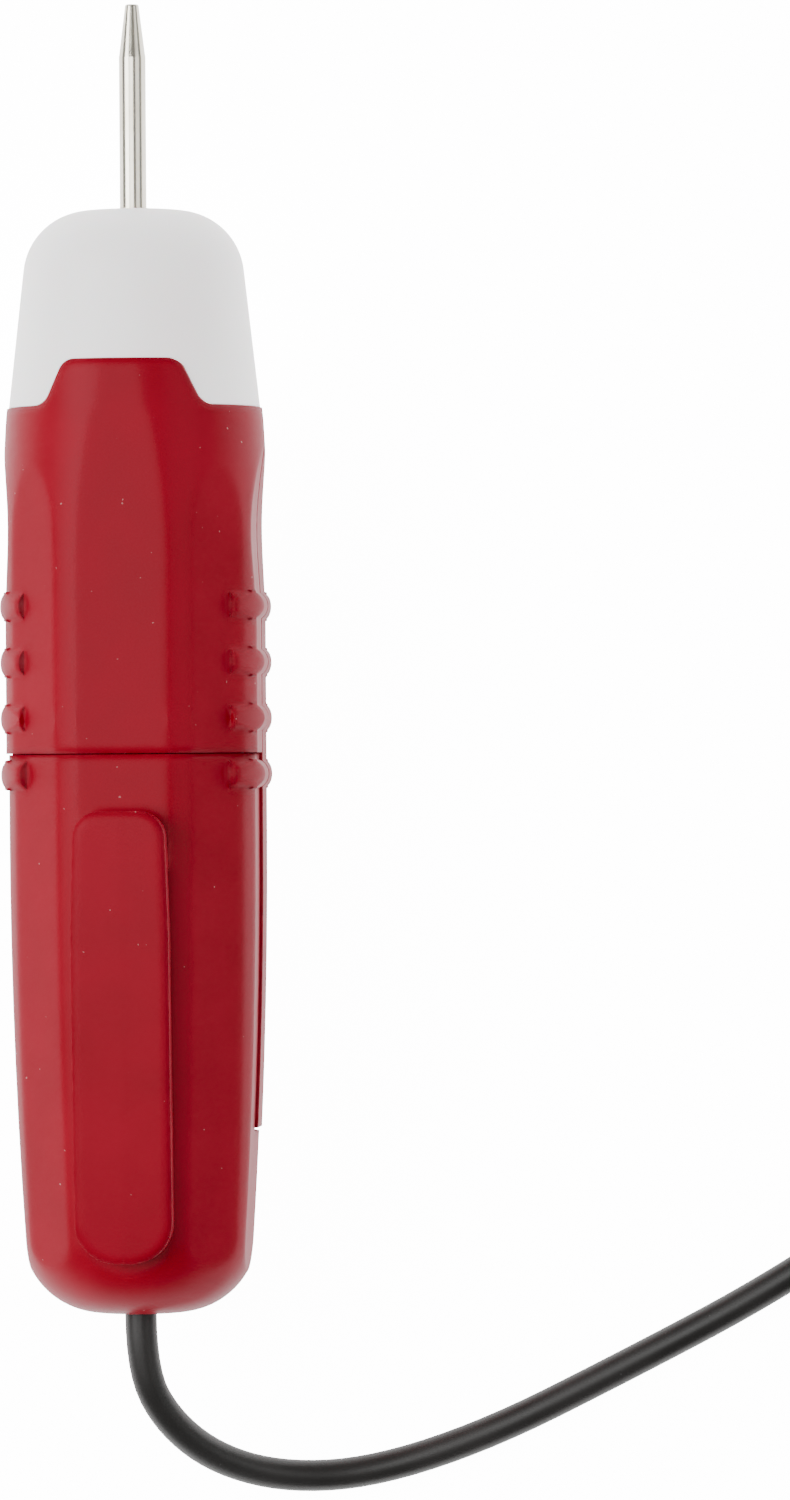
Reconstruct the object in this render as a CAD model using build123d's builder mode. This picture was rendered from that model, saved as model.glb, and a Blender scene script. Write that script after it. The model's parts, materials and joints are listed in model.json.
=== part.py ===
"""Battery continuity tester: a red handle with a bare probe, a glowing nose and a test lead.

The tester lies on its back with its pocket clip on top. Y runs along the handle towards the
probe's tip, X is across it and Z is up. The origin is under the middle of the tester, on the
surface that it lies on. Lengths are in millimetres.
"""
import os
from math import atan, cos, degrees, pi, radians, sin, sqrt, tan

from build123d import *

os.makedirs("parts", exist_ok=True)

# ---- Cell and the spaces along the handle ------------------------------------------------
cell_length = 50.5            # AA cell, over its positive pip
cell_diameter = 14.5
cell_play = 0.35              # radial room round the cell
wall_waist = 1.55             # plastic outside the bore at the waist
wall_grip = 1.85              # and at the grip
wall_shoulder = 2.17          # and at the shoulder, under the lens
tail_room = 9.0               # tail end to the cell's flat end: wall, lead clamp and spring
nose_room = 8.5               # cell's pip to the handle's rim: contact and circuit board

# ---- Outside lengths ---------------------------------------------------------------------
cup_length = 13.9             # full-round tail of the cover
cover_length = 42.1           # tail end to the seam across the front
lens_length = 15.0            # rim to the top of the lens
probe_exposed = 15.4          # lens to the probe's tip
tongue_height = 3.4           # tongue of the handle that laps over the lens
tongue_half_top = 4.3
tongue_half_base = 5.9

# ---- Small sizes -------------------------------------------------------------------------
cover_step = 0.2              # cover's surface stands inside the handle's
seam_gap = 0.08               # between the cover and the handle
slide_gap = 0.1               # round the cover's guide lips
split_gap = 0.3               # across the back, between tail cup and handle
tail_round = 6.0              # corner round of the tail
block_overrun = 6.0           # facets are cut this far past the tail, clear of its round
taper_radius = 465.0          # long arc that narrows the handle to the tail
guide_thickness = 0.45        # cover's guide lips
guide_depth = 1.6
rib_height = 0.5
rib_foot = 1.15               # half the rib's width at its foot, inside the wall
rib_pitch = 4.2
rib_count = 4
rib_wrap = 2.7                # how far a rib runs on past the side facet
probe_diameter = 2.0
probe_root_step = 0.2         # root is this much thicker all round than the shank
probe_root_rise = 0.05        # root's shoulder above the lens
probe_tip_flat = 0.5          # radius of the probe's blunt end
probe_taper = 4.0
lens_wall = 1.3
lens_round = 5.0
led_diameter = 3.0
led_offset = 3.8              # lamp beside the probe
lead_diameter = 2.4           # insulated wire
core_diameter = 0.76          # its tinned strands
lap_length = 2.5              # cover's front edge tucks under the handle
lap_thickness = 0.8
tail_wall = 1.8
clamp_room = 2.4              # space for the clamp on the lead, behind the spring plate
contact_thickness = 0.4
contact_seat = 0.5            # its ends reach this far into the handle's wall
contact_height = 6.0
board_size = (11.0, 9.8, 1.0)
board_drop = 1.5              # board's top below the axis
board_gap = 1.2               # cell's pip to the board's edge
post_radius = 0.6
post_x = 4.6
ledge_thickness = 0.8
spring_seat = 2.0             # depth of the spring's seat behind the cell's bore
lead_play = 0.1
hinge_gap = 0.06
lens_gap = 0.05               # lens to the handle's tongue
lens_crown = 0.7              # rise of the lens's end
boss_length = 6.0             # inside the lens, round the probe
boss_radius = 2.2
probe_play = 0.06
socket_width = 3.4
lead_frame = 0.5              # lamp's square legs
led_height = 5.8
led_leg = 4.6
jacket_thickness = 0.15
pip_height = 1.4
pip_radius = 2.75
spring_wire = 0.7
spring_wide = 5.4
spring_narrow = 3.2
spring_turns = 3
spring_play = 0.05
tie_width = 3.0
barrel_wall = 0.5
barrel_length = 6.5
wire_play = 0.05
clip_lift = 0.12              # clip's free end above the cover
clip_width = 7.0
clip_thickness = 1.4
clip_rise = 2.95              # clip's outer face above the grip, at its root
clip_fall = 1.7               # and how far it comes down towards its free end

# ---- Croc clip: outlines in its own plane, u towards its teeth ---------------------------
fixed_width = 5.2
moving_width = 3.9
sheet = 0.5
jaw_spine = 0.55
pivot_u = 16.0
pivot_radius = 0.6
pivot_play = 0.06
tooth_pitch = 1.25
tooth_depth = 0.6
tooth_start = 19.0
tooth_count = 9
fixed_outline = [
    (5.5, -3.4), (pivot_u, -3.9), (24.0, -3.3), (31.0, -1.6), (31.6, -0.05),
    (18.6, -0.05), (17.3, 1.3), (14.7, 1.3), (13.6, -0.9), (5.5, -1.2),
]
moving_outline = [
    (4.6, 6.1), (5.4, 6.9), (pivot_u, 3.9), (24.0, 3.3), (31.0, 1.6), (31.6, 0.05),
    (18.6, 0.05), (17.2, -1.2), (14.8, -1.2), (13.2, 1.6), (5.0, 5.6),
]
boot_length = 7.5
boot_overlap = 5.0            # of the boot over the barrel
boot_sleeve = 4.0             # of the boot over the lead
boot_wall = 0.45
boot_round = 0.4
clip_spring_wire = 0.25       # radius
clip_spring_height = 2.0
clip_spring_radius = 1.15
clip_spring_pitch = 0.6
pivot_head_rim = 0.4
pivot_head_height = 0.35

# ---- Stations worked out from those ------------------------------------------------------
handle_length = tail_room + cell_length + nose_room
overall_length = handle_length + lens_length + probe_exposed
tail_y = -overall_length / 2
cell_y = tail_y + tail_room
pip_y = cell_y + cell_length
rim_y = tail_y + handle_length
lens_top_y = rim_y + lens_length
tip_y = lens_top_y + probe_exposed
shoulder_end_y = lens_top_y + probe_root_rise
probe_root_radius = probe_diameter / 2 + probe_root_step
split_y = tail_y + cup_length
seam_y = tail_y + cover_length
shoulder_y = rim_y - 2.3
waist_y = rim_y - 8.7
grip_y = rim_y - 16.5
taper_y = seam_y - 6.0
clip_top_y = seam_y - 4.4
clip_end_y = tail_y + 4.3

bore_radius = cell_diameter / 2 + cell_play
contact_width = 2 * (bore_radius + contact_seat)
grip_half = bore_radius + wall_grip
shoulder_radius = bore_radius + wall_shoulder
axis_z = shoulder_radius + 0.03          # the back rests on z = 0
corner_radius = grip_half + 0.6
facet_half = grip_half + 0.27            # slanting facets
rim_radius = shoulder_radius - 0.17
bay_radius = shoulder_radius - 1.6       # inside the shoulder, round the lens skirt
bay_y = rim_y - 5.6
skirt_radius = bay_radius - 0.1
flange_radius = skirt_radius + 0.5
flange_y = rim_y - 3.8
flange_width = 1.0
lens_base_radius = rim_radius - 0.15
lens_top_radius = lens_base_radius - 1.6
lens_bore = skirt_radius - 1.1
lap_radius = bore_radius + lap_thickness
plate_y = tail_y + tail_wall + clamp_room
spring_seat_radius = bore_radius - 1.0
board_y = pip_y + board_gap
board_top = axis_z - board_drop
board_end_y = board_y + board_size[1]
socket_y = board_y + 3.4
post_y = board_y + 1.6
guide_radius = bore_radius + guide_thickness
AXIS = Axis((0, 0, axis_z), (0, 1, 0))
FLAT = Plane.XY.offset(axis_z)           # level plane through the axis

# ---- Test lead: its route over the surface, its coil and where its clip points -------------
# points of the route from the tail, y measured from the tail's end
tail_route = [
    (0.0, 0.0, axis_z),
    (0.0, -4.4, axis_z),
    (1.8, -8.4, 8.1),
    (5.2, -11.5, 5.4),
    (10.2, -13.1, 2.7),
    (16.8, -12.8, 1.2),
    (25.6, -9.9, 1.2),
    (35.6, -4.9, 1.2),
    (46.3, 0.7, 1.2),
    (55.2, 6.5, 1.2),
    (63.6, 9.6, 1.2),
]
end_route = [
    (67.8, 13.4, 1.2),
    (78.0, 15.6, 1.2),
    (83.2, 23.6, 1.8),
    (83.9, 34.5, 2.6),
]
coil_centre = (70.5, -2.0)
coil_inner = 9.4
coil_outer = 17.0
coil_height = 7.0
croc_heading = 85.0         # way that the croc clip points, degrees from +X
croc_wire_v = -2.0            # lead's line beside the clip's middle
croc_wire_z = 2.6
wire_in_croc = 5.0            # how far the lead goes into the clip's barrel
croc_reach = 10.0             # last bend of the lead to the clip's rear
tie_thickness = 0.4


def turned(angle):
    """Level plane through the axis, turned about the axis by an angle in degrees."""
    a = radians(angle)
    return Plane((0, 0, axis_z), x_dir=(cos(a), 0, -sin(a)), z_dir=(sin(a), 0, cos(a)))


# ---- Handle's outside --------------------------------------------------------------------
def narrowing(run):
    """How far the outline has come in at a distance behind taper_y."""
    return taper_radius - sqrt(taper_radius ** 2 - run ** 2)


def long_side(half, end_y):
    """Outline's side from taper_y back to end_y, coming in along the long arc."""
    run = taper_y - end_y
    end = (half - narrowing(run), end_y)
    ThreePointArc((half, taper_y), (half - narrowing(run / 2), taper_y - run / 2), end)
    return end


def facet_pair(angle, half, waisted):
    """Block with two opposite facets, drawn on a plane through the axis and longer than the handle."""
    top_y = rim_y + 2 * tongue_height
    end_y = tail_y - block_overrun
    wide = shoulder_radius + 0.3
    with BuildPart() as block:
        with BuildSketch(turned(angle)):
            with BuildLine():
                end = long_side(half, end_y)
                Polyline(end, (0, end_y), (0, top_y), (wide, top_y))
                if waisted:
                    waist = half - wall_grip + wall_waist
                    Line((wide, top_y), (wide, rim_y - 0.8))
                    Spline(
                        (wide, rim_y - 0.8),
                        (waist + 0.36, waist_y + 4.0),
                        (waist, waist_y),
                        (half - 0.13, grip_y + 3.4),
                        (half, grip_y),
                        tangents=[(-0.12, -1), (0, -1)],
                    )
                else:
                    Line((wide, top_y), (wide, shoulder_y))
                    TangentArc((half, waist_y), (wide, shoulder_y), tangent=(0, 1))
                    Line((half, waist_y), (half, grip_y))
                Line((half, grip_y), (half, taper_y))
            make_face()
            mirror(about=Plane.YZ)
        extrude(amount=2 * corner_radius, both=True)
    return block.part


def turned_form(inset):
    """Round body: the whole shoulder and tail end, and the rounding between the facets."""
    end_y = tail_y + inset / 2
    radius = corner_radius - inset
    rim = rim_radius - inset
    tongue_y = rim_y + tongue_height + 1
    with BuildPart() as form:
        with BuildSketch(FLAT) as outline:
            with BuildLine():
                foot = long_side(radius, end_y)
                Line((radius, taper_y), (radius, waist_y - 3))
                Spline(
                    (radius, waist_y - 3),
                    (shoulder_radius - inset, shoulder_y),
                    (rim, rim_y),
                    tangents=[(0, 1), (-0.12, 1)],
                )
                Polyline((rim, rim_y), (rim - 0.1, tongue_y), (0, tongue_y), (0, end_y), foot)
            make_face()
            fillet(outline.vertices().sort_by_distance(foot)[0], tail_round)
        revolve(axis=AXIS)
    return form.part


def handle_form(inset):
    """Outside of the handle as a closed solid, with its surface moved in by inset."""
    end_y = tail_y - 2
    tongue_y = rim_y + tongue_height + 2
    front = axis_z + grip_half - inset
    middle = (taper_y + end_y) / 2
    with BuildPart() as form:
        # the front facet runs straight through to the tongue; the back is flat to lie on
        with BuildSketch(Plane.YZ):
            with BuildLine():
                tail_front = (end_y, front - narrowing(taper_y - end_y))
                Polyline((taper_y, front), (tongue_y, front), (tongue_y, inset), (end_y, inset), tail_front)
                ThreePointArc(tail_front, (middle, front - narrowing(taper_y - middle)), (taper_y, front))
            make_face()
        extrude(amount=2 * corner_radius, both=True)
        add(facet_pair(0, grip_half - inset, True), mode=Mode.INTERSECT)
        add(facet_pair(45, facet_half - inset, False), mode=Mode.INTERSECT)
        add(facet_pair(-45, facet_half - inset, False), mode=Mode.INTERSECT)
        add(turned_form(inset), mode=Mode.INTERSECT)
    return form.part


outer_form = handle_form(0)
cover_form = handle_form(cover_step)


def half_space(y_from, y_to, above, gap=0.0):
    """Block from one y to another, above or below the level plane through the axis."""
    reach = 2 * corner_radius
    with BuildPart() as block:
        with BuildSketch(Plane.XZ.offset(-y_from)):
            with Locations((0, axis_z + (gap + reach / 2) * (1 if above else -1))):
                Rectangle(2 * reach, reach)
        extrude(amount=y_from - y_to)
    return block.part


def bore(y_from, y_to, radius):
    """Round space on the axis."""
    with BuildPart() as hole:
        with BuildSketch(Plane.XZ.offset(-y_from)):
            with Locations((0, axis_z)):
                Circle(radius)
        extrude(amount=y_from - y_to)
    return hole.part


def tongue_prism(gap):
    """Outline of the rim with its tongue, drawn from above, grown by gap all round."""
    with BuildPart() as prism:
        with BuildSketch(FLAT) as outline:
            with BuildLine():
                Polyline(
                    (-2 * corner_radius, rim_y + gap),
                    (-tongue_half_base - gap, rim_y + gap),
                    (-tongue_half_top - gap, rim_y + tongue_height + gap),
                    (tongue_half_top + gap, rim_y + tongue_height + gap),
                    (tongue_half_base + gap, rim_y + gap),
                    (2 * corner_radius, rim_y + gap),
                    (2 * corner_radius, tail_y),
                    (-2 * corner_radius, tail_y),
                    close=True,
                )
            make_face()
            bends = outline.vertices().filter_by(lambda v: abs(v.X) < corner_radius)
            fillet(bends, 1.3)
        extrude(amount=2 * corner_radius, both=True)
    return prism.part


def ribs(y_list, above):
    """Grip ribs of one half: each a rounded bar over the side facets and round their corners."""
    flat_corner = facet_half * sqrt(2) - grip_half
    slant_corner = (grip_half - flat_corner) / sqrt(2)
    with BuildPart() as bars:
        for y in y_list:
            for side in (0, 180):
                up = 1 if (side == 0) == above else -1
                slant = turned(side - 45 * up).offset(-up * (slant_corner + rib_height / 2))
                for facet, plane, run in (
                    (grip_half, turned(side), up * (flat_corner + rib_height / 2)),
                    (facet_half, slant, up * rib_wrap),
                ):
                    with BuildSketch(plane):
                        foot = facet - rib_height
                        with BuildLine():
                            Line((foot, y - rib_foot), (foot, y + rib_foot))
                            ThreePointArc((foot, y - rib_foot), (facet + rib_height, y), (foot, y + rib_foot))
                        make_face()
                    extrude(amount=run)
        add(bore(tail_y, rim_y, corner_radius + rib_height / 2), mode=Mode.INTERSECT)
    return bars.part


rib_rows = [seam_y - 1.6 + rib_pitch * row for row in range(rib_count)]
cover_ribs = [y for y in rib_rows if y < seam_y]
front_ribs = [y for y in rib_rows if y > seam_y]



def halves_inside(part_y):
    """Space that both handle halves leave open, from part_y to the tongue."""
    with BuildPart() as space:
        add(bore(part_y, bay_y, bore_radius))
        add(bore(bay_y, lens_top_y, bay_radius))
        grown = flange_radius + slide_gap
        add(bore(flange_y - slide_gap, flange_y + flange_width + slide_gap, grown))
        # slot for the edges of the positive contact
        with BuildSketch(Plane.XZ.offset(-pip_y)):
            with Locations((0, axis_z)):
                Rectangle(contact_width + 2 * slide_gap, contact_height + 2 * slide_gap)
        extrude(amount=-contact_thickness)
    return space.part


# ---- Handle: front half, from the seam to the rim with its tongue ------------------------
with BuildPart() as handle_front:
    add(outer_form)
    add(ribs(front_ribs, True))
    add(half_space(seam_y, lens_top_y, True), mode=Mode.INTERSECT)
    add(tongue_prism(0), mode=Mode.INTERSECT)
    add(halves_inside(tail_y), mode=Mode.SUBTRACT)
    add(bore(seam_y, seam_y + lap_length + seam_gap, lap_radius + slide_gap), mode=Mode.SUBTRACT)
    # two posts that press on the board
    with BuildSketch(Plane.XY.offset(board_top)):
        with Locations((-post_x, post_y), (post_x, post_y)):
            Circle(post_radius)
    extrude(amount=board_drop + bore_radius)
handle_front.part.label = "handle_front"
export_step(handle_front.part, "parts/handle_front.step")

# ---- Handle: back half with the cell's trough, from the tail split to the rim ------------
with BuildPart() as ledges:
    with BuildSketch(Plane.XZ.offset(-board_y - 0.4)):
        with Locations((0, axis_z - bore_radius)):
            Rectangle(3 * bore_radius, 2 * (bore_radius - board_drop - board_size[2]))
    extrude(amount=-ledge_thickness)
    mirror(about=Plane.XZ.offset(-(board_y + flange_y) / 2))
    add(bore(board_y, flange_y, bay_radius + 0.3), mode=Mode.INTERSECT)

with BuildPart() as handle_back:
    add(outer_form)
    add(ribs(rib_rows, False))
    add(half_space(split_y, lens_top_y, False), mode=Mode.INTERSECT)
    add(tongue_prism(0), mode=Mode.INTERSECT)
    add(halves_inside(tail_y), mode=Mode.SUBTRACT)
    add(ledges.part)
    # rebates that the cover's guide lips run in
    with BuildSketch(Plane.XZ.offset(-split_y)):
        with Locations((0, axis_z)):
            Rectangle(2 * (guide_radius + slide_gap), 2 * (guide_depth + slide_gap))
    extrude(amount=split_y - seam_y - seam_gap, mode=Mode.SUBTRACT)
handle_back.part.label = "handle_back"
export_step(handle_back.part, "parts/handle_back.step")

# ---- Tail cover: front plate, full-round cup, guide lips and the clip's root -------------
cup_y = split_y - split_gap
cover_y = seam_y - seam_gap


def cover_surface(y):
    """Height of the cover's front facet at y, clear of its tail round."""
    return axis_z + grip_half - cover_step - narrowing(max(0, taper_y - y))


hinge_y = clip_top_y - 4.2
root_z = cover_surface(taper_y) + clip_rise
hinge_z = root_z - clip_thickness / 2
tip_z = root_z - clip_fall

with BuildPart() as clip_plan:
    with BuildSketch(Plane.XY.offset(axis_z)) as plan:
        with BuildLine():
            half = clip_width / 2
            Polyline(
                (0, clip_top_y),
                (half - 0.35, clip_top_y),
                (half, clip_top_y - 6),
                (half, clip_end_y + 10),
                (half - 0.4, clip_end_y),
                (0, clip_end_y),
                close=True,
            )
        make_face()
        fillet(plan.vertices().sort_by_distance((half - 0.35, clip_top_y))[0], 2.0)
        fillet(plan.vertices().sort_by_distance((half - 0.4, clip_end_y))[0], 2.8)
        mirror(about=Plane.YZ)
    extrude(amount=2 * corner_radius)

with BuildPart() as clip_root:
    with BuildSketch(Plane.YZ) as side:
        with BuildLine():
            Polyline(
                (hinge_y, axis_z + bore_radius + 0.5),
                (hinge_y, root_z),
                (clip_top_y, root_z + 0.1),
                (clip_top_y, axis_z + bore_radius + 0.5),
                close=True,
            )
        make_face()
        fillet(side.vertices().group_by(Axis.X)[-1].sort_by(Axis.Y)[-1], clip_rise * 0.6)
        with Locations((hinge_y, hinge_z)):
            Circle(clip_thickness / 2 + hinge_gap, mode=Mode.SUBTRACT)
    extrude(amount=clip_width, both=True)
    add(clip_plan.part, mode=Mode.INTERSECT)

front_lap = bore(cover_y - 1, seam_y + lap_length, lap_radius)
front_lap = front_lap & half_space(cover_y - 1, rim_y, True, guide_depth)
tail_cup = cover_form & (half_space(tail_y - 1, cup_y, True) + half_space(tail_y - 1, cup_y, False))
with BuildPart() as tail_cover:
    add(cover_form)
    add(ribs(cover_ribs, True))
    add(half_space(tail_y - 1, cover_y, True, slide_gap), mode=Mode.INTERSECT)
    with BuildSketch(Plane.XZ.offset(-cup_y)):
        with Locations((0, axis_z)):
            Rectangle(2 * guide_radius, 2 * guide_depth)
    extrude(amount=cup_y - cover_y)
    add(front_lap)
    add(tail_cup)
    add(clip_root.part)
    add(bore(plate_y + spring_seat, seam_y + 2 * lap_length, bore_radius), mode=Mode.SUBTRACT)
    add(bore(plate_y, plate_y + spring_seat, spring_seat_radius), mode=Mode.SUBTRACT)
    add(bore(tail_y + tail_wall, plate_y, spring_seat_radius - 1.6), mode=Mode.SUBTRACT)
    add(bore(tail_y - 1, plate_y, lead_diameter / 2 + lead_play), mode=Mode.SUBTRACT)
tail_cover.part.label = "tail_cover"
export_step(tail_cover.part, "parts/tail_cover.step")

# ---- Pocket clip: the springy blade, from its root to its free end -----------------------
with BuildPart() as pocket_clip:
    end_z = cover_surface(clip_end_y) + clip_lift
    with BuildSketch(Plane.YZ) as side:
        with BuildLine():
            Polyline(
                (hinge_y, root_z),
                (clip_end_y + 4.6, tip_z),
                (clip_end_y, end_z + 0.6),
                (clip_end_y, end_z),
                (clip_end_y + 3.4, tip_z - clip_thickness),
                (hinge_y, root_z - clip_thickness),
                close=True,
            )
        make_face()
        fillet(side.vertices().sort_by_distance((clip_end_y + 4.6, tip_z))[0], 3.0)
        fillet(side.vertices().sort_by_distance((clip_end_y + 3.4, tip_z - clip_thickness))[0], 2.0)
        with Locations((hinge_y, hinge_z)):
            Circle(clip_thickness / 2)
    extrude(amount=clip_width, both=True)
    add(clip_plan.part, mode=Mode.INTERSECT)
pocket_clip.part.label = "pocket_clip"
export_step(pocket_clip.part, "parts/pocket_clip.step")

# ---- Lens --------------------------------------------------------------------------------
with BuildPart() as rim_recess:
    add(tongue_prism(lens_gap))
    add(half_space(rim_y, lens_top_y, True) + half_space(rim_y, lens_top_y, False), mode=Mode.INTERSECT)
    add(bore(tail_y, lens_top_y, skirt_radius), mode=Mode.SUBTRACT)

dome_y = lens_top_y - lens_crown
with BuildPart() as lens:
    with BuildSketch(FLAT) as outline:
        with BuildLine():
            Polyline(
                (0, flange_y),
                (flange_radius, flange_y),
                (flange_radius, flange_y + flange_width),
                (skirt_radius, flange_y + flange_width),
                (skirt_radius, rim_y),
                (lens_base_radius, rim_y),
                (lens_top_radius, dome_y),
            )
            ThreePointArc(
                (lens_top_radius, dome_y),
                (lens_top_radius / 2, dome_y + 0.75 * lens_crown),
                (0, lens_top_y),
            )
            Line((0, lens_top_y), (0, flange_y))
        make_face()
        fillet(outline.vertices().sort_by_distance((lens_top_radius, dome_y))[0], lens_round)
    revolve(axis=AXIS)
    inner_y = dome_y - lens_wall
    inner_radius = lens_top_radius - lens_wall
    with BuildSketch(FLAT) as inside:
        with BuildLine():
            Polyline(
                (0, flange_y),
                (lens_bore, flange_y),
                (lens_bore, rim_y + tongue_height + 1),
                (inner_radius, inner_y),
                (0, inner_y + lens_crown / 2),
                close=True,
            )
        make_face()
        inner_corner = inside.vertices().sort_by_distance((inner_radius, inner_y))[0]
        fillet(inner_corner, lens_round - lens_wall)
    revolve(axis=AXIS, mode=Mode.SUBTRACT)
    add(bore(lens_top_y - boss_length, dome_y, boss_radius))
    add(bore(tail_y, tip_y, probe_root_radius + probe_play), mode=Mode.SUBTRACT)
    add(rim_recess.part, mode=Mode.SUBTRACT)
lens.part.label = "lens"
export_step(lens.part, "parts/lens.step")

# ---- Probe and the brass socket that holds it on the board -------------------------------
with BuildPart() as probe:
    with BuildSketch(FLAT) as outline:
        radius = probe_diameter / 2
        root = probe_root_radius
        with BuildLine():
            Polyline(
                (0, socket_y + 0.3),
                (root, socket_y + 0.3),
                (root, shoulder_end_y),
                (radius, shoulder_end_y),
                (radius, tip_y - probe_taper),
                (probe_tip_flat, tip_y),
                (0, tip_y),
                close=True,
            )
        make_face()
        fillet(outline.vertices().sort_by_distance((probe_tip_flat, tip_y))[0], 0.15)
    revolve(axis=AXIS)
probe.part.label = "probe"
export_step(probe.part, "parts/probe.step")

with BuildPart() as probe_socket:
    with BuildSketch(Plane.XY.offset(board_top)):
        with Locations((0, (socket_y + board_end_y) / 2)):
            Rectangle(socket_width, board_end_y - socket_y)
    extrude(amount=board_drop + socket_width / 2)
    fillet(probe_socket.edges().filter_by(Axis.Y).group_by(Axis.Z)[-1], 0.5)
    add(bore(socket_y, board_end_y, probe_root_radius), mode=Mode.SUBTRACT)
probe_socket.part.label = "probe_socket"
export_step(probe_socket.part, "parts/probe_socket.step")

# ---- Circuit board and what is soldered to it --------------------------------------------
board_middle = (board_y + board_end_y) / 2
with BuildPart() as circuit_board:
    with BuildSketch(Plane.XY.offset(board_top)):
        with Locations((0, board_middle)):
            RectangleRounded(board_size[0], board_size[1], 0.6)
    extrude(amount=-board_size[2])
circuit_board.part.label = "circuit_board"
export_step(circuit_board.part, "parts/circuit_board.step")

led_y = board_end_y + 0.6
led_z = board_top + lead_frame / 2
led_radius = led_diameter / 2
with BuildPart() as led_body:
    with BuildSketch(Plane.XY.offset(led_z)):
        with BuildLine():
            Polyline(
                (led_offset, led_y + led_height),
                (led_offset, led_y),
                (led_offset + led_radius + 0.3, led_y),
                (led_offset + led_radius + 0.3, led_y + 0.9),
                (led_offset + led_radius, led_y + 0.9),
                (led_offset + led_radius, led_y + led_height - led_radius),
            )
            RadiusArc(
                (led_offset + led_radius, led_y + led_height - led_radius),
                (led_offset, led_y + led_height),
                -led_radius,
            )
        make_face()
    revolve(axis=Axis((led_offset, 0, led_z), (0, 1, 0)))
led_body.part.label = "led_body"
export_step(led_body.part, "parts/led_body.step")

with BuildPart() as led_legs:
    with BuildSketch(Plane.XY.offset(board_top)):
        with Locations(*[(led_offset + side * 1.27, led_y - led_leg / 2) for side in (-1, 1)]):
            Rectangle(lead_frame, led_leg)
    extrude(amount=lead_frame)
led_legs.part.label = "led_legs"
export_step(led_legs.part, "parts/led_legs.step")

with BuildPart() as driver_chip:
    with BuildSketch(Plane.XY.offset(board_top + 0.15)):
        with Locations((-3.5, board_y + 4.9)):
            Rectangle(1.7, 3.0)
    extrude(amount=1.1)
    chamfer(driver_chip.edges().group_by(Axis.Z)[-1], 0.2)
driver_chip.part.label = "driver_chip"
export_step(driver_chip.part, "parts/driver_chip.step")

with BuildPart() as chip_legs:
    with BuildSketch(Plane.XY.offset(board_top)):
        for side in (-1, 1):
            with Locations(*[(-3.5 + side * 1.1, board_y + 4.9 + 0.95 * row) for row in (-1, 0, 1)]):
                Rectangle(0.5, 0.4)
    extrude(amount=0.4)
chip_legs.part.label = "chip_legs"
export_step(chip_legs.part, "parts/chip_legs.step")

with BuildPart() as boost_coil:
    with Locations((3.7, board_y + 4.4, board_top)):
        Cylinder(1.6, 0.5, align=(Align.CENTER, Align.CENTER, Align.MIN))
        Cylinder(1.3, 2.2, align=(Align.CENTER, Align.CENTER, Align.MIN))
    with Locations((3.7, board_y + 4.4, board_top + 2.0)):
        Cylinder(1.6, 0.5, align=(Align.CENTER, Align.CENTER, Align.MIN))
boost_coil.part.label = "boost_coil"
export_step(boost_coil.part, "parts/boost_coil.step")

with BuildPart() as board_capacitor:
    with Locations((-3.6, board_y + 8.2, board_top)):
        Box(2.0, 1.25, 0.9, align=(Align.CENTER, Align.CENTER, Align.MIN))
board_capacitor.part.label = "board_capacitor"
export_step(board_capacitor.part, "parts/board_capacitor.step")

# ---- Positive contact: a plate across the bore with a tab soldered to the board ----------
with BuildPart() as positive_contact:
    with BuildSketch(Plane.XZ.offset(-pip_y)) as plate:
        with Locations((0, axis_z)):
            RectangleRounded(contact_width, contact_height, 0.8)
    extrude(amount=-contact_thickness)
    with BuildSketch(Plane.XY.offset(board_top)):
        with Locations((0, (pip_y + board_y + 1.8) / 2)):
            Rectangle(4.0, board_y + 1.8 - pip_y)
    extrude(amount=0.3)
positive_contact.part.label = "positive_contact"
export_step(positive_contact.part, "parts/positive_contact.step")

# ---- AA cell: steel can, printed jacket, insulating ring and positive pip ----------------
can_radius = cell_diameter / 2 - jacket_thickness
can_end_y = pip_y - pip_height
with BuildPart() as cell_can:
    add(bore(cell_y, can_end_y, can_radius))
    fillet(cell_can.edges().filter_by(GeomType.CIRCLE), 0.5)
cell_can.part.label = "cell_can"
export_step(cell_can.part, "parts/cell_can.step")

with BuildPart() as cell_jacket:
    add(bore(cell_y + 0.6, can_end_y - 0.6, cell_diameter / 2))
    add(bore(cell_y, can_end_y, can_radius), mode=Mode.SUBTRACT)
cell_jacket.part.label = "cell_jacket"
export_step(cell_jacket.part, "parts/cell_jacket.step")

with BuildPart() as cell_ring:
    add(bore(can_end_y, can_end_y + 0.3, can_radius - 0.8))
    add(bore(can_end_y, can_end_y + 0.3, pip_radius), mode=Mode.SUBTRACT)
cell_ring.part.label = "cell_ring"
export_step(cell_ring.part, "parts/cell_ring.step")

with BuildPart() as cell_pip:
    add(bore(can_end_y, pip_y, pip_radius))
    fillet(cell_pip.edges().filter_by(GeomType.CIRCLE).sort_by(Axis.Y)[-1], 0.4)
cell_pip.part.label = "cell_pip"
export_step(cell_pip.part, "parts/cell_pip.step")

# ---- Tail contact: spring plate, cone spring, and the lead soldered to them --------------
with BuildPart() as spring_plate:
    add(bore(plate_y, plate_y + contact_thickness, spring_seat_radius - 0.1))
    add(bore(plate_y, plate_y + contact_thickness, core_diameter / 2), mode=Mode.SUBTRACT)
spring_plate.part.label = "spring_plate"
export_step(spring_plate.part, "parts/spring_plate.step")

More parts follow.
